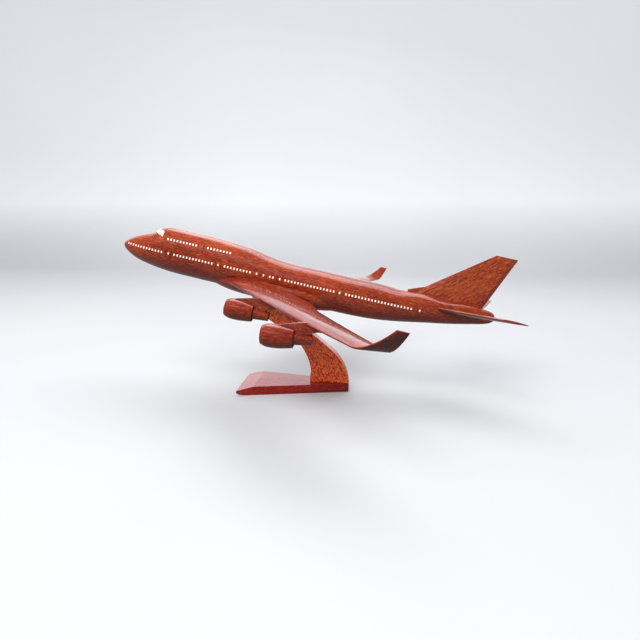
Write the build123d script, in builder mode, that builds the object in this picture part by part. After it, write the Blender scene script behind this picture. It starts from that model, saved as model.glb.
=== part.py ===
# Desktop airliner model in carved hardwood, on a horn-shaped plank stand.
#
# The aircraft is a four-engined wide-body with an upper deck, 470 mm from the nose tip to the rear
# of the fin tip. It lifts off a steel pin in the stand, and the pin lets it turn. Millimetres,
# +Z up, nose toward -X, port side toward -Y. The origin is the centre of the base plate's underside.
#
# Aircraft stations (x) are measured aft from the nose tip along the fuselage axis, and aircraft
# heights (z) square to that axis. The frame AIRCRAFT carries them to the tilted, raised aircraft.
import os
from math import cos, radians, sin, sqrt

from build123d import *

os.makedirs("parts", exist_ok=True)

# ---- driving dimensions ----
BODY_RADIUS = 21.75         # constant round stretch of the fuselage
CLIMB_ANGLE = 12.24         # nose-up attitude on the stand, degrees
NOSE_HEIGHT = 183.0         # nose tip above the table
NOSE_OVERHANG = 145.5       # nose tip ahead of the base plate
SEMI_SPAN = 224.0           # centreline to the winglet joint
TAIL_SEMI_SPAN = 77.0

# base plate
BASE_LENGTH = 137.0
BASE_FRONT_WIDTH = 70.0
BASE_REAR_WIDTH = 15.0
BASE_THICKNESS = 11.0
BEVEL_RUN = 21.0            # long bevel across the top of the front end
BEVEL_DROP = 5.0
UNDERCUT_RUN = 9.0          # short bevel under the front end
UNDERCUT_RISE = 3.0
EDGE_BREAK = 0.6            # small chamfer that takes the sharpness off sawn edges

# stand plank
STAND_THICKNESS = 14.0

# pivot pin between stand and aircraft
PIN_DIAMETER = 6.0
PIN_CLEARANCE = 0.05        # radial, in both bores
PIN_IN_STAND = 20.0
PIN_IN_AIRCRAFT = 16.0
PIN_STATION = 198.5         # where the pin enters the belly
PIN_END_GAP = 0.5           # air left beyond each end of the pin
SEAT_GAP = 0.05             # the aircraft's belly stands just clear of the stand's top
BELLY_DEPTH = 27.0          # axis to the flat under the belly
SEAT_LENGTH = 140.0

# inlaid windows, as flat-faced plugs, and engraved door outlines
INLAY_DEPTH = 1.2
INLAY_PROUD = 0.02          # window faces stand this far out of the skin at their middle
WINDOW_PITCH = 3.93
WINDOW_WIDTH = 1.7
WINDOW_HEIGHT = 2.5
MAIN_DECK_HEIGHT = 3.5
UPPER_DECK_HEIGHT = 19.9
PANE_PROUD = 0.15
DOOR_WIDTH = 7.0
DOOR_HEIGHT = 14.0
DOOR_CORNER = 2.9
GROOVE_WIDTH = 0.5
GROOVE_DEPTH = 1.4          # at a door's mid height, where the skin stands furthest out

FINE = 0.01                 # overlap that keeps a cut from leaving a skin

CLIMB = radians(CLIMB_ANGLE)
AFT = Vector(cos(CLIMB), 0, -sin(CLIMB))
UP = Vector(sin(CLIMB), 0, cos(CLIMB))
PORT = Vector(0, -1, 0)
STARBOARD = Vector(0, 1, 0)
NOSE_X = -BASE_LENGTH / 2 - NOSE_OVERHANG
AIRCRAFT = Plane(origin=(NOSE_X, 0, NOSE_HEIGHT), x_dir=AFT, z_dir=UP)


def at(x, y, z):
    """A point given in aircraft coordinates."""
    return AIRCRAFT.from_local_coords((x, y, z))


def station_plane(x):
    """Cross-section plane of the aircraft at a station: local x to starboard, local y up."""
    return Plane(origin=at(x, 0, 0), x_dir=STARBOARD, z_dir=AFT)


def side_plane(y):
    """Plane parallel to the aircraft's symmetry plane, facing port: local x aft, local y up."""
    return Plane(origin=at(0, y, 0), x_dir=AFT, z_dir=PORT)


def level_plane(z):
    """Plane parallel to the aircraft's floor: local x aft, local y to starboard."""
    return Plane(origin=at(0, 0, z), x_dir=AFT, z_dir=UP)


def mirrored(piece, label):
    """The starboard twin of a port piece."""
    with BuildPart() as twin:
        mirror(piece.part, about=Plane.XZ)
    twin.part.label = label
    return twin


# ---- fuselage skin ----
# station, half width, height of the widest line, top, bottom
FUSELAGE_STATIONS = [
    (1.2, 3.4, 0.4, 3.4, -3.0),
    (5.0, 7.0, 0.2, 6.9, -6.8),
    (12.0, 11.3, 0.2, 11.6, -10.9),
    (23.0, 16.0, 0.3, 16.8, -15.2),
    (34.0, 19.0, 0.4, 21.0, -17.6),
    (40.5, 20.2, 0.4, 24.8, -18.8),
    (46.5, 20.9, 0.3, 29.0, -19.6),
    (54.0, 21.4, 0.2, 31.6, -20.5),
    (68.0, 21.75, 0.0, 32.5, -21.6),
    (95.0, 21.75, 0.0, 32.2, -22.2),
    (125.0, 21.75, 0.0, 31.4, -22.4),
    (150.0, 21.75, 0.0, 29.8, -22.5),
    (170.0, 21.75, 0.0, 27.2, -22.5),
    (188.0, 21.75, 0.0, 23.9, -22.6),
    (206.0, 21.75, 0.0, 21.9, -22.8),
    (235.0, 21.75, 0.0, 21.75, -23.3),
    (270.0, 21.75, 0.0, 21.75, -23.7),
    (300.0, 21.6, 0.0, 21.75, -23.3),
    (330.0, 20.7, 0.4, 21.7, -21.2),
    (360.0, 18.2, 2.0, 21.6, -16.6),
    (390.0, 14.6, 4.6, 21.5, -11.0),
    (420.0, 10.8, 7.6, 21.3, -5.4),
    (443.0, 7.8, 10.0, 20.6, -0.1),
    (456.0, 5.6, 10.9, 18.9, 3.4),
    (462.0, 3.2, 11.0, 16.2, 6.8),
]
NOSE_TIP = (0.0, 0.8)
TAIL_TIP = (464.0, 10.9)


def fuselage_loft(inset):
    """Loft the fuselage skin, moved inward by inset."""
    sections = []
    for x, half_width, widest, top, bottom in FUSELAGE_STATIONS:
        with BuildSketch(station_plane(x)) as section:
            with BuildLine():
                crown = top - widest - inset
                keel = widest - bottom - inset
                EllipticalCenterArc((0, widest), half_width - inset, crown, arc_size=180)
                EllipticalCenterArc((0, widest), half_width - inset, keel, 180, arc_size=180)
            make_face()
        sections.append(section.sketch)
    nose = Vertex(*at(NOSE_TIP[0] + inset, 0, NOSE_TIP[1]))
    tail = Vertex(*at(TAIL_TIP[0] - inset, 0, TAIL_TIP[1]))
    return loft([nose, *sections, tail])


with BuildPart() as skin:
    fuselage_loft(0)

# ---- belly fairing, carved with the fuselage ----
# station, half width, half height; every section is centred on the fairing's own axis
FAIRING_AXIS = -12.0
FAIRING_STATIONS = [
    (116.0, 8.0, 8.4),
    (132.0, 17.0, 12.4),
    (154.0, 23.0, 15.2),
    (185.0, 24.2, 15.8),
    (222.0, 24.2, 15.8),
    (248.0, 22.4, 15.2),
    (272.0, 14.5, 11.4),
    (286.0, 6.0, 7.0),
]
FAIRING_FRONT = (106.0, -16.5)
FAIRING_REAR = (294.0, -16.0)

with BuildPart() as belly_fairing:
    fairing_sections = []
    for x, half_width, half_height in FAIRING_STATIONS:
        with BuildSketch(station_plane(x)) as section:
            with Locations((0, FAIRING_AXIS)):
                Ellipse(half_width, half_height)
        fairing_sections.append(section.sketch)
    front_point = Vertex(*at(FAIRING_FRONT[0], 0, FAIRING_FRONT[1]))
    rear_point = Vertex(*at(FAIRING_REAR[0], 0, FAIRING_REAR[1]))
    loft([front_point, *fairing_sections, rear_point])

# ---- wings ----
THICKNESS_RATIO = 0.105
CAMBER_RATIO = 0.018
TRAILING_EDGE = 0.8         # blunt thickness left at every trailing edge
WING_TENON = 11.0           # the wing root stops this far from the centreline
WING_KINK = 84.0            # where the trailing edge turns further aft


def aerofoil(plane, chord_start, chord_end, ratio=THICKNESS_RATIO, camber=CAMBER_RATIO):
    """A closed aerofoil between two points of a sketch plane, given in its local (x, y)."""
    start = Vector(*chord_start)
    chord = Vector(*chord_end) - start
    normal = Vector(-chord.Y, chord.X).normalized()

    def surface(t, side):
        shape = 0.2969 * sqrt(t) - 0.126 * t - 0.3516 * t**2 + 0.2843 * t**3 - 0.1015 * t**4
        half = 5 * ratio * chord.length * shape + TRAILING_EDGE / 2 * t
        rise = 4 * camber * chord.length * t * (1 - t)
        return start + chord * t + normal * (rise + side * half)

    steps = [0.78, 0.55, 0.34, 0.17, 0.06, 0.012]
    upper = [surface(t, 1) for t in [1, *steps]]
    lower = [surface(t, -1) for t in [*reversed(steps), 1]]
    with BuildSketch(plane) as section:
        with BuildLine():
            outline = Spline(*upper, start, *lower)
            Line(outline @ 1, outline @ 0)
        make_face()
    return section.sketch


def wing_leading(span):
    """(x, z) of the wing's leading edge at a distance from the centreline."""
    return 137.7 + 0.799 * (span - 21.6), -12.2 + 0.02 * span + 0.0001 * span**2


def wing_trailing(span):
    """(x, z) of the wing's trailing edge: straight, then swept from the kink outward."""
    inboard = 243.4 + 0.268 * (min(span, WING_KINK) - 19.7)
    outboard = 0.477 * max(span - WING_KINK, 0)
    return inboard + outboard, wing_leading(span)[1] - 4.2 + 0.032 * span


def wing_section(span):
    return aerofoil(side_plane(-span), wing_leading(span), wing_trailing(span))


with BuildPart() as wing_blank:
    loft([wing_section(WING_TENON), wing_section(WING_KINK)])
    loft([wing_section(span) for span in (WING_KINK, 128, 176, SEMI_SPAN)])

# ---- winglets ----
WINGLET_TIP = (235.4, 20.9)     # span and height
WINGLET_BEND = (230.2, 0.9)     # where the wing's line would meet the winglet's
WINGLET_TIP_LEADING = 328.6
WINGLET_TIP_TRAILING = 338.6
WINGLET_STEPS = (0.3, 0.55, 0.8, 1.0)
WINGLET_RATIO = 0.11


def winglet_section(share):
    """The aerofoil at a share of the way up the winglet's curve, square to the curve."""
    start = Vector(SEMI_SPAN, wing_leading(SEMI_SPAN)[1])
    bend = Vector(*WINGLET_BEND)
    tip = Vector(*WINGLET_TIP)
    place = start * (1 - share) ** 2 + bend * (2 * share * (1 - share)) + tip * share**2
    slope = (bend - start) * (1 - share) + (tip - bend) * share
    outward = (PORT * slope.X + UP * slope.Y).normalized()
    canted = Plane(origin=at(0, -place.X, place.Y), x_dir=AFT, z_dir=outward)
    leading = wing_leading(SEMI_SPAN)[0] * (1 - share) + WINGLET_TIP_LEADING * share
    trailing = wing_trailing(SEMI_SPAN)[0] * (1 - share) + WINGLET_TIP_TRAILING * share
    rise = (wing_trailing(SEMI_SPAN)[1] - wing_leading(SEMI_SPAN)[1]) * (1 - share)
    return aerofoil(canted, (leading, 0), (trailing, rise), WINGLET_RATIO, CAMBER_RATIO * (1 - share))


with BuildPart() as winglet_left:
    loft([wing_section(SEMI_SPAN), *[winglet_section(share) for share in WINGLET_STEPS]])
winglet_left.part.label = "winglet_left"

# ---- engines ----
NACELLE_LENGTH = 46.5
COWL_LENGTH = 29.5
COWL_RADIUS = 10.9
LIP_RADIUS = 7.6
CORE_RADIUS = 6.3
CORE_END_RADIUS = 4.9
PYLON_THICKNESS = 4.4
BRAD_DIAMETER = 1.6
# label, span, nacelle front station, nacelle axis height, nose-down set of the nacelle
ENGINES = [
    ("inner", 98.0, 165.4, -25.7, 0.5),
    ("outer", 170.0, 220.0, -24.9, 6.8),
]


def nacelle_plane(span, front, height, droop):
    """Plane through a nacelle's axis, facing port: local x aft along the axis, local y up."""
    axis = AFT * cos(radians(droop)) + UP * sin(radians(droop))
    return Plane(origin=at(front, -span, height), x_dir=axis, z_dir=PORT)


def turned_nacelle(plane):
    """Fan cowl, core and both recesses, turned in one piece."""
    with BuildPart() as turned:
        with BuildSketch(plane):
            with BuildLine():
                spinner = ThreePointArc((3.4, 0), (4.4, 1.7), (6.6, 2.4))
                intake = Polyline(spinner @ 1, (6.6, 6.9), (1.8, 7.0))
                lip = ThreePointArc(intake @ 1, (0, LIP_RADIUS), (1.3, 8.8))
                cowl = Spline(
                    lip @ 1, (4, 10.1), (10, COWL_RADIUS), (19, COWL_RADIUS - 0.3), (COWL_LENGTH, 9.2)
                )
                core_side = Polyline(
                    cowl @ 1, (COWL_LENGTH + 0.4, 8.6), (COWL_LENGTH - 1.2, 7.9),
                    (COWL_LENGTH - 1.6, CORE_RADIUS), (NACELLE_LENGTH, CORE_END_RADIUS),
                    (NACELLE_LENGTH, CORE_END_RADIUS - 1.0), (NACELLE_LENGTH - 4, 3.6),
                    (NACELLE_LENGTH - 4, 2.2), (NACELLE_LENGTH + 1.5, 0),
                )
                Line(core_side @ 1, spinner @ 0)
            make_face()
        revolve(axis=Axis(plane.origin, plane.x_dir))
    return turned


def pylon_plate(span, front, height, droop):
    """A pylon before the wing and the nacelle are cut from it."""
    lift = sin(radians(droop))
    leading_x, leading_z = wing_leading(span)
    with BuildPart() as plate:
        with BuildSketch(side_plane(-span)):
            Polygon(
                (front + 8, height + 2), (front + 6.5, height + 9.6), (front + 9.5, height + 11.4),
                (leading_x + 0.5, leading_z + 1.2), (leading_x + 12, leading_z + 2),
                (leading_x + 31, leading_z + 1), (leading_x + 31, leading_z - 2.5),
                (front + NACELLE_LENGTH + 3, height + 8.5 + lift * NACELLE_LENGTH),
                (front + NACELLE_LENGTH - 5, height + 5 + lift * NACELLE_LENGTH),
                (front + NACELLE_LENGTH - 12, height + lift * NACELLE_LENGTH),
                align=None,
            )
        extrude(amount=PYLON_THICKNESS / 2, both=True)
    return plate


nacelles = []
pylons = []
brads = []
for label, span, front, height, droop in ENGINES:
    nacelle_blank = turned_nacelle(nacelle_plane(span, front, height, droop))
    pylon_blank = pylon_plate(span, front, height, droop)

    brad_station = wing_leading(span)[0] + 6
    with BuildPart() as brad:
        with BuildSketch(level_plane(height + 3)):
            with Locations((brad_station, -span)):
                Circle(BRAD_DIAMETER / 2)
        extrude(amount=wing_leading(span)[1] + 1.5 - height - 3)
    brads.append(brad)

    with BuildPart() as nacelle:
        add(nacelle_blank.part)
        add(brad.part, mode=Mode.SUBTRACT)
    nacelle.part.label = f"{label}_nacelle_left"
    nacelles.append(nacelle)

    with BuildPart() as pylon:
        add(pylon_blank.part)
        add(wing_blank.part, mode=Mode.SUBTRACT)
        add(nacelle_blank.part, mode=Mode.SUBTRACT)
        add(brad.part, mode=Mode.SUBTRACT)
    pylon.part.label = f"{label}_pylon_left"
    pylons.append(pylon)

with BuildPart() as pylon_brads:
    for brad in brads:
        add(brad.part)
        mirror(brad.part, about=Plane.XZ)
pylon_brads.part.label = "pylon_brads"

# ---- tail ----
TAIL_ROOT = 8.0
TAIL_RATIO = 0.1


def stabiliser_section(span):
    share = (span - TAIL_ROOT) / (TAIL_SEMI_SPAN - TAIL_ROOT)
    height = 9.3 + 13.6 * share
    leading = (388 + 61 * share, height)
    trailing = (445 + 31.5 * share, height + 0.4 * share)
    return aerofoil(side_plane(-span), leading, trailing, TAIL_RATIO, 0)


with BuildPart() as stabiliser_blank:
    loft([stabiliser_section(TAIL_ROOT), stabiliser_section(TAIL_SEMI_SPAN)])

FIN_ROOT = 17.0
FIN_TIP = 84.6
FIN_LEADING_BEVEL = 7.5     # width of the bevel that sharpens the leading edge
FIN_TRAILING_BEVEL = 5.0


def fin_section(height, leading, trailing, half_thickness):
    """A flat-sided section, bevelled to blunt edges in front and behind."""
    edge = half_thickness * 0.3
    with BuildSketch(level_plane(height)) as section:
        with BuildLine():
            Polyline(
                (leading, -edge), (leading + FIN_LEADING_BEVEL, -half_thickness),
                (trailing - FIN_TRAILING_BEVEL, -half_thickness), (trailing, -edge),
                (trailing, edge), (trailing - FIN_TRAILING_BEVEL, half_thickness),
                (leading + FIN_LEADING_BEVEL, half_thickness), (leading, edge), close=True,
            )
        make_face()
    return section.sketch


with BuildPart() as fin_blank:
    loft([fin_section(FIN_ROOT, 356.5, 445.2, 3.1), fin_section(FIN_TIP, 445.2, 470.6, 1.9)], ruled=True)
    with BuildSketch(side_plane(0)):
        Polygon((355.5, 19), (355.8, 23.6), (373.0, 30.2), (382, 30.2), (382, 19), align=None)
    extrude(amount=1.5, both=True)

# ---- glue joints: dowels, bores and the pin ----
WING_DOWEL_DIAMETER = 4.4
WING_DOWEL_REACH = 36.0
WING_DOWEL_PLACES = ((166.0, -12.0), (216.0, -13.6))
TAIL_DOWEL_DIAMETER = 3.0
TAIL_DOWEL_REACH = 17.0
TAIL_DOWEL_PLACE = (414.0, 10.2)
FIN_DOWEL_DIAMETER = 2.6
FIN_DOWEL_STATIONS = (396.0, 426.0)
FIN_DOWEL_BOTTOM = 9.5
FIN_DOWEL_LENGTH = 20.0

with BuildPart() as wing_dowels:
    with BuildSketch(side_plane(0)):
        with Locations(*WING_DOWEL_PLACES):
            Circle(WING_DOWEL_DIAMETER / 2)
    extrude(amount=WING_DOWEL_REACH, both=True)
wing_dowels.part.label = "wing_dowels"

with BuildPart() as stabiliser_dowel:
    with BuildSketch(side_plane(0)):
        with Locations(TAIL_DOWEL_PLACE):
            Circle(TAIL_DOWEL_DIAMETER / 2)
    extrude(amount=TAIL_DOWEL_REACH, both=True)
stabiliser_dowel.part.label = "stabiliser_dowel"

with BuildPart() as fin_dowels:
    with BuildSketch(level_plane(FIN_DOWEL_BOTTOM)):
        with Locations(*[(x, 0) for x in FIN_DOWEL_STATIONS]):
            Circle(FIN_DOWEL_DIAMETER / 2)
    extrude(amount=FIN_DOWEL_LENGTH)
    add(stabiliser_dowel.part, mode=Mode.SUBTRACT)
fin_dowels.part.label = "fin_dowels"

with BuildPart() as wing_left:
    add(wing_blank.part)
    add(wing_dowels.part, mode=Mode.SUBTRACT)
    for brad in brads:
        add(brad.part, mode=Mode.SUBTRACT)
wing_left.part.label = "wing_left"

with BuildPart() as stabiliser_left:
    add(stabiliser_blank.part)
    add(stabiliser_dowel.part, mode=Mode.SUBTRACT)
stabiliser_left.part.label = "stabiliser_left"

with BuildPart() as tail_fin:
    add(fin_blank.part)
    add(fin_dowels.part, mode=Mode.SUBTRACT)
tail_fin.part.label = "tail_fin"

with BuildPart() as pivot_pin:
    with BuildSketch(level_plane(-BELLY_DEPTH - PIN_IN_STAND)):
        with Locations((PIN_STATION, 0)):
            Circle(PIN_DIAMETER / 2)
    extrude(amount=PIN_IN_STAND + PIN_IN_AIRCRAFT)
    chamfer(pivot_pin.edges().filter_by(GeomType.CIRCLE), EDGE_BREAK)
pivot_pin.part.label = "pivot_pin"

# ---- windows and windscreen, inlaid, and door outlines, engraved ----
# station of the first window and how many follow at the common pitch
MAIN_DECK_ROWS = [(9.8, 13), (72.9, 13), (135.8, 9), (191.6, 2), (210.6, 16), (284.4, 21)]
MAIN_DECK_SINGLES = [175.4, 183.8]
DOOR_STATIONS = [65.6, 127.7, 203.8, 276.8, 373.4]
UPPER_DECK_ROWS = [(61.0, 10), (111.0, 8)]
UPPER_DOOR_STATION = 102.5
WINDSCREEN_PANES = [
    [(41.6, 24.2), (45.2, 27.0), (45.4, 23.2)],
    [(46.1, 27.3), (49.3, 27.8), (49.5, 22.3), (46.3, 22.9)],
    [(50.2, 27.7), (53.0, 27.0), (53.4, 20.9), (50.4, 22.0)],
]
OUTSIDE = 60.0              # beyond the widest skin


def skin_plane(x, z, proud=0.0):
    """Plane touching the port skin at a station and height: local x runs aft, local z out of the skin."""
    sight = Axis(at(x, -OUTSIDE, z), STARBOARD)
    hits = skin.part.find_intersection_points(sight)
    point, normal = min(hits, key=lambda hit: hit[0].Y)
    if normal.Y > 0:
        normal = normal * -1
    aft = (AFT - normal * AFT.dot(normal)).normalized()
    return Plane(origin=point + normal * proud, x_dir=aft, z_dir=normal)


def row_places(rows, height):
    return [(first + i * WINDOW_PITCH, height) for first, count in rows for i in range(count)]


def window_plugs(places):
    """One plug for each window, square to the skin."""
    with BuildPart() as plugs:
        for x, z in places:
            with BuildSketch(skin_plane(x, z, INLAY_PROUD)):
                Rectangle(WINDOW_WIDTH, WINDOW_HEIGHT)
        extrude(amount=-INLAY_DEPTH)
    return plugs


main_places = row_places(MAIN_DECK_ROWS, MAIN_DECK_HEIGHT)
main_places += [(x, MAIN_DECK_HEIGHT) for x in MAIN_DECK_SINGLES + DOOR_STATIONS]
main_deck_windows_left = window_plugs(main_places)
main_deck_windows_left.part.label = "main_deck_windows_left"
upper_deck_windows_left = window_plugs(row_places(UPPER_DECK_ROWS, UPPER_DECK_HEIGHT))
upper_deck_windows_left.part.label = "upper_deck_windows_left"

with BuildPart() as windscreen_left:
    for pane in WINDSCREEN_PANES:
        middle_x = sum(x for x, z in pane) / len(pane)
        middle_z = sum(z for x, z in pane) / len(pane)
        pane_plane = skin_plane(middle_x, middle_z, PANE_PROUD)
        corners = [pane_plane.to_local_coords(skin_plane(x, z).origin) for x, z in pane]
        with BuildSketch(pane_plane):
            Polygon(*[(corner.X, corner.Y) for corner in corners], align=None)
    extrude(amount=-INLAY_DEPTH - PANE_PROUD)
windscreen_left.part.label = "windscreen_left"

with BuildPart() as door_cutters:
    for x in DOOR_STATIONS + [UPPER_DOOR_STATION]:
        height = UPPER_DECK_HEIGHT if x == UPPER_DOOR_STATION else MAIN_DECK_HEIGHT - 0.6
        with BuildSketch(skin_plane(x, height, -GROOVE_DEPTH)):
            RectangleRounded(DOOR_WIDTH, DOOR_HEIGHT, DOOR_CORNER)
            RectangleRounded(
                DOOR_WIDTH - 2 * GROOVE_WIDTH, DOOR_HEIGHT - 2 * GROOVE_WIDTH, DOOR_CORNER - GROOVE_WIDTH,
                mode=Mode.SUBTRACT,
            )
    extrude(amount=4 * GROOVE_DEPTH)

# ---- starboard twins ----
windows_left = [main_deck_windows_left, upper_deck_windows_left, windscreen_left]
port_pieces = [wing_left, winglet_left, stabiliser_left, *nacelles, *pylons, *windows_left]
starboard_pieces = [mirrored(piece, piece.part.label.replace("_left", "_right")) for piece in port_pieces]

# ---- fuselage: skin and fairing, less everything let into it ----
with BuildPart() as fuselage:
    add(skin.part)
    add(belly_fairing.part)
    # the seat: a flat under the belly that rests on the stand
    with BuildSketch(level_plane(-BELLY_DEPTH)):
        with Locations((PIN_STATION, 0)):
            Rectangle(SEAT_LENGTH, 2 * BODY_RADIUS)
    extrude(amount=-BODY_RADIUS, mode=Mode.SUBTRACT)
    for piece in (wing_blank, stabiliser_blank, door_cutters, *windows_left):
        add(piece.part, mode=Mode.SUBTRACT)
        mirror(piece.part, about=Plane.XZ, mode=Mode.SUBTRACT)
    for piece in (fin_blank, wing_dowels, stabiliser_dowel, fin_dowels):
        add(piece.part, mode=Mode.SUBTRACT)
    with BuildSketch(level_plane(-BELLY_DEPTH - FINE)):
        with Locations((PIN_STATION, 0)):
            Circle(PIN_DIAMETER / 2 + PIN_CLEARANCE)
    extrude(amount=PIN_IN_AIRCRAFT + PIN_END_GAP, mode=Mode.SUBTRACT)
fuselage.part.label = "fuselage"

# ---- stand: plank cut to a horn, on a tapered base plate ----
SCREW_SHANK = 3.6
SCREW_LENGTH = 30.0
SCREW_HEAD = 7.6
SCREW_HEAD_DEPTH = 2.2
SCREW_RECESS = 0.8          # head set below the underside
SCREW_PLACES = (32.0, 52.0)
FOOT_FRONT = 20.0
SEAT_FRONT = 172.0          # stations where the stand's top begins and ends
SEAT_REAR = 217.0
BASE_REAR = BASE_LENGTH / 2
BASE_FRONT = -BASE_LENGTH / 2

with BuildPart() as base_screws:
    with BuildSketch(Plane.XY.offset(SCREW_RECESS)):
        with Locations(*[(x, 0) for x in SCREW_PLACES]):
            Circle(SCREW_HEAD / 2)
    extrude(amount=SCREW_HEAD_DEPTH, taper=41)
    with BuildSketch(Plane.XY.offset(SCREW_RECESS)):
        with Locations(*[(x, 0) for x in SCREW_PLACES]):
            Circle(SCREW_SHANK / 2)
    extrude(amount=SCREW_LENGTH)
    screw_blanks = base_screws.part
    with BuildSketch(Plane.XY.offset(SCREW_RECESS)):
        with Locations(*[(x, 0) for x in SCREW_PLACES]):
            Rectangle(4.4, 0.9)
            Rectangle(0.9, 4.4)
    extrude(amount=1.4, mode=Mode.SUBTRACT)
base_screws.part.label = "base_screws"

with BuildPart() as base_plate:
    with BuildSketch():
        Polygon(
            (BASE_FRONT, -BASE_FRONT_WIDTH / 2), (BASE_REAR, -BASE_REAR_WIDTH / 2),
            (BASE_REAR, BASE_REAR_WIDTH / 2), (BASE_FRONT, BASE_FRONT_WIDTH / 2), align=None,
        )
    extrude(amount=BASE_THICKNESS)
    with BuildSketch(Plane.XZ):
        Polygon(
            (BASE_FRONT, BASE_THICKNESS), (BASE_FRONT + BEVEL_RUN, BASE_THICKNESS),
            (BASE_FRONT, BASE_THICKNESS - BEVEL_DROP), align=None,
        )
        Polygon((BASE_FRONT, 0), (BASE_FRONT + UNDERCUT_RUN, 0), (BASE_FRONT, UNDERCUT_RISE), align=None)
    extrude(amount=BASE_FRONT_WIDTH, both=True, mode=Mode.SUBTRACT)
    add(screw_blanks, mode=Mode.SUBTRACT)
base_plate.part.label = "base_plate"

seat_front = at(SEAT_FRONT, 0, -BELLY_DEPTH - SEAT_GAP)
seat_rear = at(SEAT_REAR, 0, -BELLY_DEPTH - SEAT_GAP)
with BuildPart() as stand_column:
    with BuildSketch(Plane.XZ):
        with BuildLine():
            rear = Spline(
                (BASE_REAR, BASE_THICKNESS), (60, 38), (33, 65.5), (9, 86), (seat_rear.X, seat_rear.Z),
                tangents=((-0.1, 1), (-0.45, 1)),
            )
            Line(rear @ 1, (seat_front.X, seat_front.Z))
            front = Spline(
                (seat_front.X, seat_front.Z), (-37, 95.5), (-8, 75), (14.5, 49), (21, 28),
                (FOOT_FRONT, BASE_THICKNESS),
                tangents=((0.2, -1), (0, -1)),
            )
            Line(front @ 1, rear @ 0)
        make_face()
    extrude(amount=STAND_THICKNESS / 2, both=True)
    with BuildSketch(level_plane(-BELLY_DEPTH + FINE)):
        with Locations((PIN_STATION, 0)):
            Circle(PIN_DIAMETER / 2 + PIN_CLEARANCE)
    extrude(amount=-PIN_IN_STAND - PIN_END_GAP, mode=Mode.SUBTRACT)
    add(screw_blanks, mode=Mode.SUBTRACT)
stand_column.part.label = "stand_column"

# ---- write every piece ----
pieces = [
    base_plate, stand_column, base_screws, pivot_pin, fuselage, tail_fin, wing_dowels, stabiliser_dowel,
    fin_dowels, pylon_brads, *port_pieces, *starboard_pieces,
]
for piece in pieces:
    export_step(piece.part, f"parts/{piece.part.label}.step")
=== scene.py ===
"""Desktop airliner model in polished rosewood: looks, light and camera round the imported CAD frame."""
import math

import bpy
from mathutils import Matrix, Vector
from mathutils.bvhtree import BVHTree


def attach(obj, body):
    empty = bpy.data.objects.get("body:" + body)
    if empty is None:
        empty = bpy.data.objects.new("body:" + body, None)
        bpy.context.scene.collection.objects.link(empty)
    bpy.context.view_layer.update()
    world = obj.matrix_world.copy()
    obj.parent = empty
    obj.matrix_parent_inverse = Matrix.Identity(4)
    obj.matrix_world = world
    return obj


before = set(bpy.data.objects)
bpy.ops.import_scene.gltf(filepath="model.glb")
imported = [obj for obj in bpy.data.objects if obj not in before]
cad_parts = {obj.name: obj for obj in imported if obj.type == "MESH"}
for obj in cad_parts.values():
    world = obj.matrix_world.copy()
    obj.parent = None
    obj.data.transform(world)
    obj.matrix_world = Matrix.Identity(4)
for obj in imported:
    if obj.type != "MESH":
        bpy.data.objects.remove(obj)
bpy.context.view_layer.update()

# ---- the aircraft's own frame inside the row frame ----
CLIMB = math.radians(12.24)
AFT = Vector((math.cos(CLIMB), 0, -math.sin(CLIMB)))
UP = Vector((math.sin(CLIMB), 0, math.cos(CLIMB)))
NOSE = Vector((-0.214, 0, 0.183))
MM = 0.001


def at(x, y, z):
    """A point given in aircraft millimetres: aft of the nose, to starboard, above the axis."""
    return NOSE + (AFT * x + Vector((0, y, 0)) + UP * z) * MM


def hex_colour(text):
    """Linear colour of an sRGB hex triplet."""
    channels = [int(text[i:i + 2], 16) / 255 for i in (0, 2, 4)]
    linear = [c / 12.92 if c <= 0.04045 else ((c + 0.055) / 1.055) ** 2.4 for c in channels]
    return (*linear, 1.0)


# ---- material building ----
class Graph:
    """A material's node tree, built one node a call."""

    def __init__(self, name):
        self.material = bpy.data.materials.new(name)
        self.material.use_nodes = True
        self.tree = self.material.node_tree
        self.tree.nodes.clear()

    def add(self, kind, inputs=None, output=0, **settings):
        node = self.tree.nodes.new("ShaderNode" + kind)
        for key, value in settings.items():
            setattr(node, key, value)
        for key, value in (inputs or {}).items():
            socket = node.inputs[key]
            if isinstance(value, bpy.types.NodeSocket):
                self.tree.links.new(value, socket)
            else:
                socket.default_value = value
        return node.outputs[output]

    def math(self, operation, a, b=0.0, c=0.0):
        return self.add("Math", {0: a, 1: b, 2: c}, operation=operation)

    def vector(self, operation, a, b=(0, 0, 0)):
        output = "Value" if operation in ("DOT_PRODUCT", "LENGTH") else "Vector"
        return self.add("VectorMath", {0: a, 1: b}, output, operation=operation)

    def combine(self, x, y, z):
        return self.add("CombineXYZ", {0: x, 1: y, 2: z})

    def noise(self, vector, scale=1.0, detail=2.0, roughness=0.5, distortion=0.0):
        return self.add("TexNoise", {"Vector": vector, "Scale": scale, "Detail": detail,
                                     "Roughness": roughness, "Distortion": distortion})

    def remap(self, value, low, high, to_low=0.0, to_high=1.0):
        return self.add("MapRange", {0: value, 1: low, 2: high, 3: to_low, 4: to_high})

    def ramp(self, value, stops):
        node = self.tree.nodes.new("ShaderNodeValToRGB")
        band = node.color_ramp
        while len(band.elements) < len(stops):
            band.elements.new(0.5)
        for element, (place, colour) in zip(band.elements, stops):
            element.position = place
            element.color = hex_colour(colour)
        self.tree.links.new(value, node.inputs[0])
        return node.outputs[0]

    def mix(self, share, a, b, blend="MIX"):
        return self.add("Mix", {0: share, 6: a, 7: b}, 2, data_type="RGBA", blend_type=blend)

    def surface(self, inputs):
        shader = self.add("BsdfPrincipled", inputs)
        output = self.tree.nodes.new("ShaderNodeOutputMaterial")
        self.tree.links.new(shader, output.inputs["Surface"])
        return self.material


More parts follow.
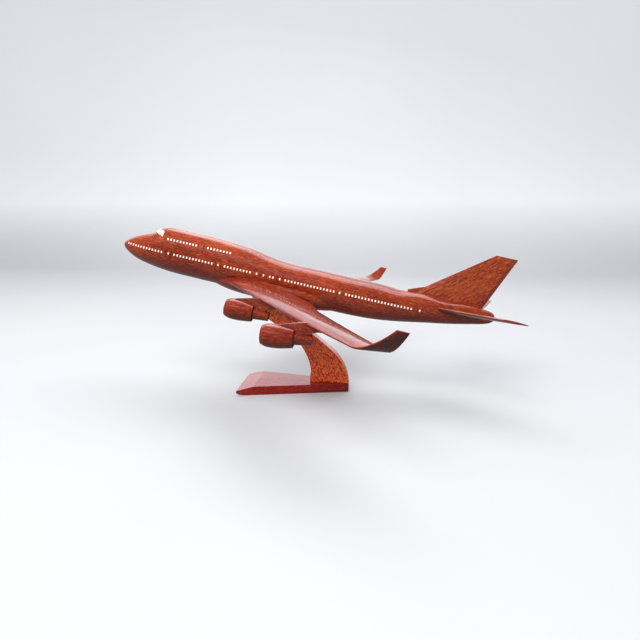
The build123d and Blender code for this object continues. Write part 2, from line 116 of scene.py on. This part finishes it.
def grain_vector(g, grain, origin, wander):
    """Texture place measured along and across the grain, in metres, with a gentle wander."""
    along = Vector(grain).normalized()
    across = along.cross(Vector((0, 0, 1)))
    if across.length < 0.2:
        across = along.cross(Vector((0, 1, 0)))
    across.normalize()
    third = along.cross(across)
    place = g.vector("SUBTRACT", g.add("TexCoord", output="Object"), tuple(origin))
    u = g.vector("DOT_PRODUCT", place, tuple(along))
    v = g.vector("DOT_PRODUCT", place, tuple(across))
    w = g.vector("DOT_PRODUCT", place, tuple(third))
    slow = g.combine(g.math("MULTIPLY", u, 9.0), g.math("MULTIPLY", v, 22.0), g.math("MULTIPLY", w, 22.0))
    shift_v = g.math("MULTIPLY", g.math("SUBTRACT", g.noise(slow, detail=1.0), 0.5), wander)
    slow_two = g.vector("ADD", slow, (7.3, 2.1, 4.4))
    shift_w = g.math("MULTIPLY", g.math("SUBTRACT", g.noise(slow_two, detail=1.0), 0.5), wander)
    return u, g.math("ADD", v, shift_v), g.math("ADD", w, shift_w)


def stretched(g, uvw, along, across):
    u, v, w = uvw
    return g.combine(g.math("MULTIPLY", u, along), g.math("MULTIPLY", v, across),
                     g.math("MULTIPLY", w, across))


ROSEWOOD_TONES = [(0.0, "4f1108"), (0.28, "86260f"), (0.5, "ab3b17"), (0.72, "c75620"), (1.0, "e07d3a")]
WEAR_REACH = 0.0005         # width of the rubbed band along an edge
JOINT_AND_CORNER_SHADE_REACH = 0.0035        # how far a dark line spreads from an inside corner
GRAIN_WANDER = 0.010        # how far the grain strays sideways
PITH = (0.061, 0.083)       # middle of the growth rings, outside the piece
LACQUER_IOR = 1.5
# painted shade on faces that look down: how far a face looks up where it is darkest and where it is plain,
# then the darkest shade
UNDERSIDE_SHADE = ((-0.8, 0.1), (0.62, 0.42, 0.42))
WINGLET_UNDERSIDE_SHADE = ((-0.35, 0.1), (0.26, 0.15, 0.17))


def rosewood(name, grain, origin=(0, 0, 0), tones=ROSEWOOD_TONES, figure=0.0, tint=(1, 1, 1),
             underside_shade=UNDERSIDE_SHADE):
    """Reddish rosewood under clear gloss lacquer; each board has its own tint."""
    g = Graph(name)
    uvw = grain_vector(g, grain, origin, GRAIN_WANDER)
    u, v, w = uvw
    # growth rings: bands in the distance from a pith well outside the piece
    ring = g.math("SQRT", g.math("ADD", g.math("POWER", g.math("ADD", v, PITH[0]), 2.0),
                                 g.math("POWER", g.math("ADD", w, PITH[1]), 2.0)))
    rings = g.noise(g.combine(g.math("MULTIPLY", ring, 210.0), g.math("MULTIPLY", u, 4.0), 0.0), detail=3.0)
    streaks = g.noise(stretched(g, uvw, 45.0, 700.0), detail=4.0, roughness=0.65)
    blotch = g.noise(stretched(g, uvw, 18.0, 40.0), detail=2.0)
    ribbon = g.noise(stretched(g, uvw, 120.0, 260.0), detail=3.0, roughness=0.6)
    dashes = g.noise(stretched(g, uvw, 150.0, 900.0), detail=2.0, roughness=0.6)
    tone = g.math("ADD", g.math("MULTIPLY", rings, 0.16), g.math("MULTIPLY", streaks, 0.24))
    tone = g.math("ADD", tone, g.math("MULTIPLY", blotch, 0.14))
    tone = g.math("ADD", tone, g.math("MULTIPLY", ribbon, 0.10))
    tone = g.math("ADD", tone, g.math("MULTIPLY", dashes, 0.40))
    if figure:
        fleck = g.noise(stretched(g, uvw, 360.0, 760.0), detail=3.0, roughness=0.65, distortion=0.3)
        tone = g.math("ADD", tone, g.math("MULTIPLY", g.math("SUBTRACT", fleck, 0.5), figure))
    tone = g.remap(tone, 0.34, 0.74)
    colour = g.ramp(tone, tones)
    # open pores: short dark dashes along the grain, and paler ray flecks between them
    pores = g.remap(g.noise(stretched(g, uvw, 210.0, 1900.0), detail=1.0), 0.58, 0.66)
    colour = g.mix(g.math("MULTIPLY", pores, 0.60), colour, hex_colour("3a0c06"))
    flecks = g.remap(g.noise(stretched(g, uvw, 190.0, 1300.0), detail=1.0), 0.62, 0.72)
    colour = g.mix(g.math("MULTIPLY", flecks, 0.40), colour, hex_colour("e08a52"))
    # glue lines are dark, and inside corners and creases are darkened by ambient occlusion: partly dark glue,
    # partly painted shade
    open_sky = g.add("AmbientOcclusion", {"Distance": JOINT_AND_CORNER_SHADE_REACH}, "AO", samples=6)
    colour = g.mix(g.remap(open_sky, 0.35, 0.85, 0.75, 0.0), colour, hex_colour("240604"))
    colour = g.mix(1.0, colour, (*tint, 1.0), "MULTIPLY")
    # handled edges are rubbed paler, in patches
    normal = g.add("NewGeometry", output="Normal")
    rounded = g.add("Bevel", {"Radius": WEAR_REACH}, samples=4)
    edge = g.math("SUBTRACT", 1.0, g.vector("DOT_PRODUCT", rounded, normal))
    rubbed = g.math("MULTIPLY", g.remap(edge, 0.03, 0.25), g.remap(blotch, 0.35, 0.6))
    colour = g.mix(g.math("MULTIPLY", rubbed, 0.5), colour, hex_colour("c9764a"))
    # painted shade: faces that look down are darkened, standing in for the shade beneath the piece
    (dark, plain), dusk = underside_shade
    facing = g.add("SeparateXYZ", {0: normal}, "Z")
    shade = g.mix(g.remap(facing, dark, plain), (*dusk, 1.0), (1, 1, 1, 1))
    colour = g.mix(1.0, colour, shade, "MULTIPLY")
    place = g.add("TexCoord", output="Object")
    wavy = g.noise(place, scale=55.0, detail=2.0)
    height = g.math("ADD", g.math("MULTIPLY", pores, -0.30), g.math("MULTIPLY", wavy, 0.8))
    bump = g.add("Bump", {"Height": height, "Strength": 0.10, "Distance": 0.001})
    coat_bump = g.add("Bump", {"Height": wavy, "Strength": 0.10, "Distance": 0.002})
    smudge = g.noise(place, scale=35.0, detail=3.0)
    return g.surface({
        "Base Color": colour, "Roughness": g.remap(streaks, 0.3, 0.7, 0.42, 0.58), "Normal": bump,
        "Specular IOR Level": 0.25, "Coat Weight": 1.0, "Coat IOR": LACQUER_IOR,
        "Coat Roughness": g.remap(smudge, 0.35, 0.7, 0.07, 0.18), "Coat Normal": coat_bump,
    })


def metal(name, colour, roughness, grain_scale):
    """Drawn or plated metal with fine scratches along the piece."""
    g = Graph(name)
    place = g.add("TexCoord", output="Object")
    scratch = g.noise(g.vector("MULTIPLY", place, (grain_scale, grain_scale, grain_scale * 0.08)), detail=4.0)
    blot = g.noise(place, scale=180.0, detail=3.0)
    tint = g.mix(g.remap(blot, 0.35, 0.7), hex_colour(colour), hex_colour("6d655c"))
    return g.surface({
        "Base Color": tint, "Metallic": 1.0,
        "Roughness": g.remap(scratch, 0.3, 0.7, roughness, roughness + 0.2),
        "Normal": g.add("Bump", {"Height": scratch, "Strength": 0.15, "Distance": 0.0003}),
    })


def bare_wood(name):
    """Pale dowel wood, unfinished."""
    g = Graph(name)
    place = g.add("TexCoord", output="Object")
    rays = g.noise(g.vector("MULTIPLY", place, (700.0, 60.0, 700.0)), detail=4.0)
    colour = g.ramp(rays, [(0.3, "a9825a"), (0.6, "c8a578"), (0.8, "d8ba92")])
    return g.surface({
        "Base Color": colour, "Roughness": g.remap(rays, 0.3, 0.7, 0.6, 0.75),
        "Normal": g.add("Bump", {"Height": rays, "Strength": 0.2, "Distance": 0.0004}),
    })


def bone(name):
    """Polished bone-white inlay, a little mottled and darker in its pores; it glows faintly, a painted
    brightness.
    """
    g = Graph(name)
    place = g.add("TexCoord", output="Object")
    mottle = g.noise(place, scale=420.0, detail=3.0)
    colour = g.ramp(mottle, [(0.25, "e6dcc4"), (0.5, "f6f0e0"), (0.8, "fffaf0")])
    specks = g.remap(g.noise(place, scale=2600.0, detail=1.0), 0.66, 0.74)
    colour = g.mix(g.math("MULTIPLY", specks, 0.35), colour, hex_colour("b59c74"))
    return g.surface({
        "Base Color": colour, "Roughness": g.remap(mottle, 0.3, 0.7, 0.22, 0.4),
        "Normal": g.add("Bump", {"Height": mottle, "Strength": 0.1, "Distance": 0.0002}),
        # painted light: the inlay glows faintly so it stays bright in shade
        "Emission Color": (1.0, 0.96, 0.86, 1.0), "Emission Strength": 0.3,
    })


def groove_shade_paint(name):
    """Dark colour for an engraved line, laid on a strip: painted shade of the narrow groove, mottled."""
    g = Graph(name)
    grime = g.noise(g.add("TexCoord", output="Object"), scale=300.0, detail=3.0)
    colour = g.mix(grime, hex_colour("3a0d08"), hex_colour("6e2014"))
    return g.surface({
        "Base Color": colour, "Roughness": g.remap(grime, 0.3, 0.7, 0.35, 0.6),
        "Normal": g.add("Bump", {"Height": grime, "Strength": 0.1, "Distance": 0.0002}),
    })


# ---- CAD nodes take their materials ----
def grain_between(start, end):
    return at(*end) - at(*start)


BASE_TONES = [(0.0, "520a06"), (0.3, "7d140c"), (0.55, "9c1f12"), (0.8, "b5301a"), (1.0, "cc4a28")]
STAND_TONES = [(0.0, "7a1e0c"), (0.25, "b83e16"), (0.5, "dc6226"), (0.75, "f08440"), (1.0, "ffaa66")]
NACELLE_TONES = [(0.0, "480e07"), (0.28, "77200f"), (0.5, "9a3317"), (0.75, "b84b22"), (1.0, "d4703a")]
WING_GRAIN = ((190, 22, -12), (312, 223, 0))
TAIL_GRAIN = ((415, 8, 10), (462, 77, 24))
BASE_TINT = (1.5, 0.8, 0.7)
STAND_TINT = (1.75, 1.15, 0.95)
FUSELAGE_TINT = (1.02, 0.98, 0.93)
FIN_TINT = (1.22, 1.6, 1.8)
WING_TINT = (0.82, 0.48, 0.34)
NACELLE_TINT = (0.98, 0.76, 0.7)
looks = {
    "base_plate": rosewood("base_wood", (1, 0.03, 0), (0.1, 0.2, 0.0), BASE_TONES, tint=BASE_TINT),
    "stand_column": rosewood("stand_wood", (0.62, 0, -1), (0.3, 0.1, 0.2), STAND_TONES, 1.3, STAND_TINT),
    "fuselage": rosewood("fuselage_wood", AFT, (0.0, 0.03, 0.05), tint=FUSELAGE_TINT),
    "tail_fin": rosewood("fin_wood", at(470, 0, 85) - at(390, 0, 22), (0.1, 0.0, 0.1), tint=FIN_TINT),
    "base_screws": metal("zinc_screw", "9a9c9e", 0.3, 3000.0),
    "pivot_pin": metal("bright_pin", "b9babc", 0.2, 2500.0),
    "pylon_brads": metal("brass_brad", "b88f4a", 0.3, 3000.0),
    "wing_dowels": bare_wood("dowel_wood"),
}
looks["stabiliser_dowel"] = looks["fin_dowels"] = looks["wing_dowels"]
window_bone = bone("window_bone")
for side, sign in (("left", -1), ("right", 1)):
    shift = 0.4 * sign
    for row in ("main_deck_windows", "upper_deck_windows", "windscreen"):
        looks[f"{row}_{side}"] = window_bone
    wing_grain = grain_between(*[(x, y * sign, z) for x, y, z in WING_GRAIN])
    tail_grain = grain_between(*[(x, y * sign, z) for x, y, z in TAIL_GRAIN])
    looks[f"wing_{side}"] = rosewood(f"wing_{side}_wood", wing_grain, (shift, 0.1, 0.0), tint=WING_TINT)
    looks[f"winglet_{side}"] = rosewood(f"winglet_{side}_wood", wing_grain, (shift, 0.2, 0.1),
                                        underside_shade=WINGLET_UNDERSIDE_SHADE)
    looks[f"stabiliser_{side}"] = rosewood(f"stabiliser_{side}_wood", tail_grain, (shift, 0.3, 0.1))
    for place in ("inner", "outer"):
        looks[f"{place}_nacelle_{side}"] = rosewood(f"{place}_nacelle_{side}_wood", AFT, (shift, 0.4, 0.2),
                                                    NACELLE_TONES, 0.25, NACELLE_TINT)
        looks[f"{place}_pylon_{side}"] = rosewood(f"{place}_pylon_{side}_wood", AFT, (shift, 0.5, 0.3))
for name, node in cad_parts.items():
    node.data.materials.clear()
    node.data.materials.append(looks[name])

# ---- lines engraved on the wings ----
# all in aircraft millimetres, spans measured from the centreline
WING_KINK = 84.0            # where the trailing edge turns further aft
LINE_WIDTH = 0.38
LINE_STEP = 3.0             # spacing of the points along a line
LINE_START = 30.0           # height from which the wing's upper face is looked for
LINE_DEEP = 0.10            # below the surface
LINE_PROUD = 0.02
# (span, share of the chord) pairs: slats, flaps, ailerons and spoilers
WING_LINES = [
    [(32, 0.17), (218, 0.20)],
    [(32, 0.74), (84, 0.70), (150, 0.72)],
    [(32, 0.74), (32, 0.97)],
    [(84, 0.70), (84, 0.96)],
    [(92, 0.71), (92, 0.96)],
    [(150, 0.72), (150, 0.96)],
    [(156, 0.76), (214, 0.76)],
    [(156, 0.76), (156, 0.96)],
    [(214, 0.76), (214, 0.95)],
]


def wing_leading(span):
    return 137.7 + 0.799 * (span - 21.6)


def wing_trailing(span):
    return 243.4 + 0.268 * (min(span, WING_KINK) - 19.7) + 0.477 * max(span - WING_KINK, 0)


def surface_of(node):
    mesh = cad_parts[node].data
    return BVHTree.FromPolygons([v.co.copy() for v in mesh.vertices],
                                [list(face.vertices) for face in mesh.polygons])


def engraved_lines(side, sign):
    """Thin dark strips let into the upper face of one wing."""
    top = surface_of(f"wing_{side}")
    verts = []
    faces = []
    for path in WING_LINES:
        samples = []
        for (span_a, share_a), (span_b, share_b) in zip(path, path[1:]):
            count = max(4, int(abs(span_b - span_a) / LINE_STEP))
            for i in range(count + 1):
                t = i / count
                span = span_a + (span_b - span_a) * t
                share = share_a + (share_b - share_a) * t
                x = wing_leading(span) + (wing_trailing(span) - wing_leading(span)) * share
                point, normal, _, _ = top.ray_cast(at(x, span * sign, LINE_START), -UP)
                if point is not None and (not samples or (point - samples[-1][0]).length > MM):
                    samples.append((point, normal))
        first = len(verts)
        for i, (point, normal) in enumerate(samples):
            ahead = samples[min(i + 1, len(samples) - 1)][0]
            behind = samples[max(i - 1, 0)][0]
            across = (ahead - behind).cross(normal).normalized() * (LINE_WIDTH / 2 * MM)
            for height in (LINE_PROUD, -LINE_DEEP):
                for way in (-1, 1):
                    verts.append(point + across * way + normal * (height * MM))
        for i in range(len(samples) - 1):
            a = first + 4 * i
            b = a + 4
            faces += [(a, a + 1, b + 1, b), (a + 2, b + 2, b + 3, a + 3),
                      (a, b, b + 2, a + 2), (a + 1, a + 3, b + 3, b + 1)]
        last = first + 4 * (len(samples) - 1)
        faces += [(first, first + 2, first + 3, first + 1), (last, last + 1, last + 3, last + 2)]
    mesh = bpy.data.meshes.new(f"wing_lines_{side}")
    mesh.from_pydata(verts, [], faces)
    # the strip's dark colour is painted shade of an engraved groove
    mesh.materials.append(line_groove_shade)
    lines = bpy.data.objects.new(f"wing_lines_{side}", mesh)
    bpy.context.scene.collection.objects.link(lines)
    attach(lines, "aircraft")


line_groove_shade = groove_shade_paint("line_groove_shade")
for side, sign in (("left", -1), ("right", 1)):
    engraved_lines(side, sign)

# ---- stage, light and camera ----
WALL_START = 1.3            # how far behind the object the floor begins to turn up
WALL_BEND = 0.9


def stage_material(name):
    """Pale paint; the floor throws little light up, so undersides keep their depth. The backdrop also glows,
    brighter up the wall and brighter still as seen in reflections on the model: painted light and painted
    reflection.
    """
    g = Graph(name)
    place = g.add("TexCoord", output="Object")
    mottle = g.noise(place, scale=1.5, detail=2.0)
    base = g.mix(g.remap(mottle, 0.3, 0.7), hex_colour("c9cacd"), hex_colour("cfd0d2"))
    height = g.add("SeparateXYZ", {0: place}, "Z")
    on_floor = g.remap(height, 0.02, 0.35, 1.0, 0.0)
    seen = g.add("LightPath", output="Is Camera Ray")
    dim = g.math("MULTIPLY", on_floor, g.math("SUBTRACT", 1.0, seen))
    base = g.mix(g.math("MULTIPLY", dim, 0.8), base, hex_colour("3c3a3a"))
    # painted reflection: the wall glows brighter only where the model reflects it
    mirrored = g.add("LightPath", output="Is Glossy Ray")
    extra = g.math("MULTIPLY", mirrored, g.remap(height, 0.05, 0.4, 0.0, 0.45))
    glow = g.math("ADD", g.remap(height, -0.05, 0.30, 0.02, 0.52), extra)
    return g.surface({"Base Color": base, "Roughness": 0.7, "Specular IOR Level": 0.2,
                      "Emission Color": (0.93, 0.95, 1.0, 1.0), "Emission Strength": glow})


def sweep_backdrop():
    """A pale floor that turns up into a wall behind."""
    profile = [(-6.0, 0.0), (WALL_START, 0.0)]
    steps = 24
    for i in range(1, steps + 1):
        angle = math.pi / 2 * i / steps
        profile.append((WALL_START + WALL_BEND * math.sin(angle), WALL_BEND - WALL_BEND * math.cos(angle)))
    profile.append((WALL_START + WALL_BEND, 5.0))
    mesh = bpy.data.meshes.new("backdrop")
    verts = [(x, y, z) for y, z in profile for x in (-6.0, 6.0)]
    faces = [(2 * i, 2 * i + 1, 2 * i + 3, 2 * i + 2) for i in range(len(profile) - 1)]
    mesh.from_pydata(verts, [], faces)
    mesh.polygons.foreach_set("use_smooth", [True] * len(mesh.polygons))
    backdrop = bpy.data.objects.new("backdrop", mesh)
    bpy.context.scene.collection.objects.link(backdrop)
    mesh.materials.append(stage_material("backdrop_paint"))


def softbox(name, location, target, width, height, power, colour=(1, 1, 1)):
    light = bpy.data.lights.new(name, "AREA")
    light.shape = "RECTANGLE"
    light.size = width
    light.size_y = height
    light.energy = power
    light.color = colour
    lamp = bpy.data.objects.new(name, light)
    lamp.location = location
    lamp.rotation_mode = "QUATERNION"
    lamp.rotation_quaternion = (Vector(target) - Vector(location)).to_track_quat("-Z", "Y")
    bpy.context.scene.collection.objects.link(lamp)
    return lamp


sweep_backdrop()
CENTRE = (0.0, 0.0, 0.13)   # what every lamp faces
key = softbox("key_light", (-0.6, -1.15, 1.5), CENTRE, 1.6, 1.3, 34.0)
key.visible_glossy = False
softbox("top_light", (0.3, 0.55, 1.7), CENTRE, 2.4, 0.9, 22.0)
softbox("front_glow", (-0.6, -1.7, 1.9), CENTRE, 2.0, 0.8, 3.0)

world = bpy.data.worlds.new("studio")
bpy.context.scene.world = world
world.use_nodes = True
SKY_FILL = 0.22             # what the room lends the object, and what the camera sees beyond the wall
SKY_SEEN = 0.78
room = world.node_tree
room.nodes["Background"].inputs["Color"].default_value = (0.9, 0.92, 0.95, 1)
strength = room.nodes.new("ShaderNodeMapRange")
strength.inputs["To Min"].default_value = SKY_FILL
strength.inputs["To Max"].default_value = SKY_SEEN
room.links.new(room.nodes.new("ShaderNodeLightPath").outputs["Is Camera Ray"], strength.inputs["Value"])
room.links.new(strength.outputs["Result"], room.nodes["Background"].inputs["Strength"])
bpy.context.scene.view_settings.view_transform = "Standard"

camera_data = bpy.data.cameras.new("camera")
camera_data.lens = 26.9
camera_data.clip_start = 0.01
camera = bpy.data.objects.new("camera", camera_data)
camera.location = (0.0896, -0.5792, 0.2132)
camera.rotation_euler = (math.radians(90 - 11.942), 0, math.radians(5.692))
bpy.context.scene.collection.objects.link(camera)
bpy.context.scene.camera = camera
